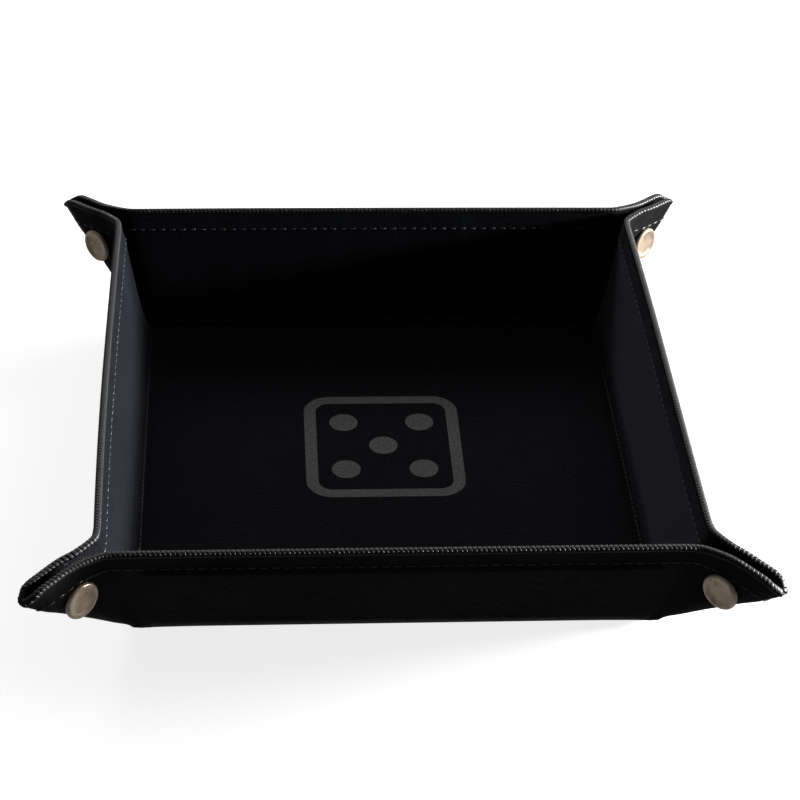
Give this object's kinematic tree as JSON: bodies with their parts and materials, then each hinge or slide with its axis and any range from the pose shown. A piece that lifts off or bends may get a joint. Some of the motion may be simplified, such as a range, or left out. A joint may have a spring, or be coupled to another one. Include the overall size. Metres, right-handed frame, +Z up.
{
  "type": "folding dice tray",
  "caption": "Square leather dice tray with a velvet lining; its walls fold up from a flat sheet and snap together at pinched corner ears.",
  "frame": {"origin": "centre of the underside, on the surface that the tray stands on", "axes": "+Z up out of the well; +Y towards the back wall; +X towards the right wall"},
  "size_m": [0.2356, 0.2356, 0.0439],
  "materials": {
    "leather": "fine grain, satin",
    "velvet": "short cut pile",
    "board": "grey stiffener board",
    "thread": "glossy filament thread",
    "snap_metal": "champagne plate, satin"
  },
  "bodies": {
    "floor": {"floor_cover": "leather", "floor_lining": "velvet", "floor_board": "board", "fold_stitching": "thread"},
    "front_wall": {"front_wall_cover": "leather", "front_wall_lining": "velvet", "front_wall_board": "board", "front_wall_stitching": "thread"},
    "back_wall": {"back_wall_cover": "leather", "back_wall_lining": "velvet", "back_wall_board": "board", "back_wall_stitching": "thread"},
    "left_wall": {"left_wall_cover": "leather", "left_wall_lining": "velvet", "left_wall_board": "board", "left_wall_stitching": "thread"},
    "right_wall": {"right_wall_cover": "leather", "right_wall_lining": "velvet", "right_wall_board": "board", "right_wall_stitching": "thread"},
    "front_wall_right_ear": {"front_wall_right_ear_cover": "leather", "front_wall_right_ear_lining": "velvet", "front_wall_right_ear_stitching": "thread", "snap_front_right_cap": "snap_metal", "snap_front_right_socket": "snap_metal"},
    "front_wall_left_ear": {"front_wall_left_ear_cover": "leather", "front_wall_left_ear_lining": "velvet", "front_wall_left_ear_stitching": "thread", "snap_front_left_cap": "snap_metal", "snap_front_left_socket": "snap_metal"},
    "back_wall_left_ear": {"back_wall_left_ear_cover": "leather", "back_wall_left_ear_lining": "velvet", "back_wall_left_ear_stitching": "thread", "snap_back_left_stud": "snap_metal", "snap_back_left_post": "snap_metal"},
    "back_wall_right_ear": {"back_wall_right_ear_cover": "leather", "back_wall_right_ear_lining": "velvet", "back_wall_right_ear_stitching": "thread", "snap_back_right_stud": "snap_metal", "snap_back_right_post": "snap_metal"},
    "left_wall_front_ear": {"left_wall_front_ear_cover": "leather", "left_wall_front_ear_lining": "velvet", "left_wall_front_ear_stitching": "thread", "snap_front_left_stud": "snap_metal", "snap_front_left_post": "snap_metal"},
    "left_wall_back_ear": {"left_wall_back_ear_cover": "leather", "left_wall_back_ear_lining": "velvet", "left_wall_back_ear_stitching": "thread", "snap_back_left_cap": "snap_metal", "snap_back_left_socket": "snap_metal"},
    "right_wall_back_ear": {"right_wall_back_ear_cover": "leather", "right_wall_back_ear_lining": "velvet", "right_wall_back_ear_stitching": "thread", "snap_back_right_cap": "snap_metal", "snap_back_right_socket": "snap_metal"},
    "right_wall_front_ear": {"right_wall_front_ear_cover": "leather", "right_wall_front_ear_lining": "velvet", "right_wall_front_ear_stitching": "thread", "snap_front_right_stud": "snap_metal", "snap_front_right_post": "snap_metal"}
  },
  "joints": [
    {"name": "fold_front", "type": "hinge", "parent": "floor", "child": "front_wall", "pos_m": [0, -0.085, 0.0033], "axis": [1, 0, 0], "range_deg": [0, 75]},
    {"name": "fold_back", "type": "hinge", "parent": "floor", "child": "back_wall", "pos_m": [0, 0.085, 0.0033], "axis": [-1, 0, 0], "range_deg": [0, 75]},
    {"name": "fold_left", "type": "hinge", "parent": "floor", "child": "left_wall", "pos_m": [-0.085, 0, 0.0033], "axis": [0, -1, 0], "range_deg": [0, 75]},
    {"name": "fold_right", "type": "hinge", "parent": "floor", "child": "right_wall", "pos_m": [0.085, 0, 0.0033], "axis": [0, 1, 0], "range_deg": [0, 75]},
    {"name": "crease_front_right", "type": "hinge", "parent": "front_wall", "child": "front_wall_right_ear", "pos_m": [0.08288, -0.085, 0.0033], "axis": [0.2506, -0.2506, 0.9351], "range_deg": [0, 47.22]},
    {"name": "crease_front_left", "type": "hinge", "parent": "front_wall", "child": "front_wall_left_ear", "pos_m": [-0.08288, -0.085, 0.0033], "axis": [0.2506, 0.2506, -0.9351], "range_deg": [0, 47.22]},
    {"name": "crease_back_left", "type": "hinge", "parent": "back_wall", "child": "back_wall_left_ear", "pos_m": [-0.08288, 0.085, 0.0033], "axis": [-0.2506, 0.2506, 0.9351], "range_deg": [0, 47.22]},
    {"name": "crease_back_right", "type": "hinge", "parent": "back_wall", "child": "back_wall_right_ear", "pos_m": [0.08288, 0.085, 0.0033], "axis": [-0.2506, -0.2506, -0.9351], "range_deg": [0, 47.22]},
    {"name": "crease_left_front", "type": "hinge", "parent": "left_wall", "child": "left_wall_front_ear", "pos_m": [-0.085, -0.08288, 0.0033], "axis": [-0.2506, -0.2506, 0.9351], "range_deg": [0, 47.22]},
    {"name": "crease_left_back", "type": "hinge", "parent": "left_wall", "child": "left_wall_back_ear", "pos_m": [-0.085, 0.08288, 0.0033], "axis": [0.2506, -0.2506, -0.9351], "range_deg": [0, 47.22]},
    {"name": "crease_right_back", "type": "hinge", "parent": "right_wall", "child": "right_wall_back_ear", "pos_m": [0.085, 0.08288, 0.0033], "axis": [0.2506, 0.2506, 0.9351], "range_deg": [0, 47.22]},
    {"name": "crease_right_front", "type": "hinge", "parent": "right_wall", "child": "right_wall_front_ear", "pos_m": [0.085, -0.08288, 0.0033], "axis": [-0.2506, 0.2506, -0.9351], "range_deg": [0, 47.22]}
  ],
  "couplings": [
    {"joint": "fold_back", "follows": "fold_front", "ratio": 1},
    {"joint": "fold_left", "follows": "fold_front", "ratio": 1},
    {"joint": "fold_right", "follows": "fold_front", "ratio": 1},
    {"joint": "crease_front_right", "follows": "fold_front", "ratio": 0.62561},
    {"joint": "crease_front_left", "follows": "fold_front", "ratio": 0.62561},
    {"joint": "crease_back_left", "follows": "fold_front", "ratio": 0.62561},
    {"joint": "crease_back_right", "follows": "fold_front", "ratio": 0.62561},
    {"joint": "crease_left_front", "follows": "fold_front", "ratio": 0.62561},
    {"joint": "crease_left_back", "follows": "fold_front", "ratio": 0.62561},
    {"joint": "crease_right_back", "follows": "fold_front", "ratio": 0.62561},
    {"joint": "crease_right_front", "follows": "fold_front", "ratio": 0.62561}
  ]
}
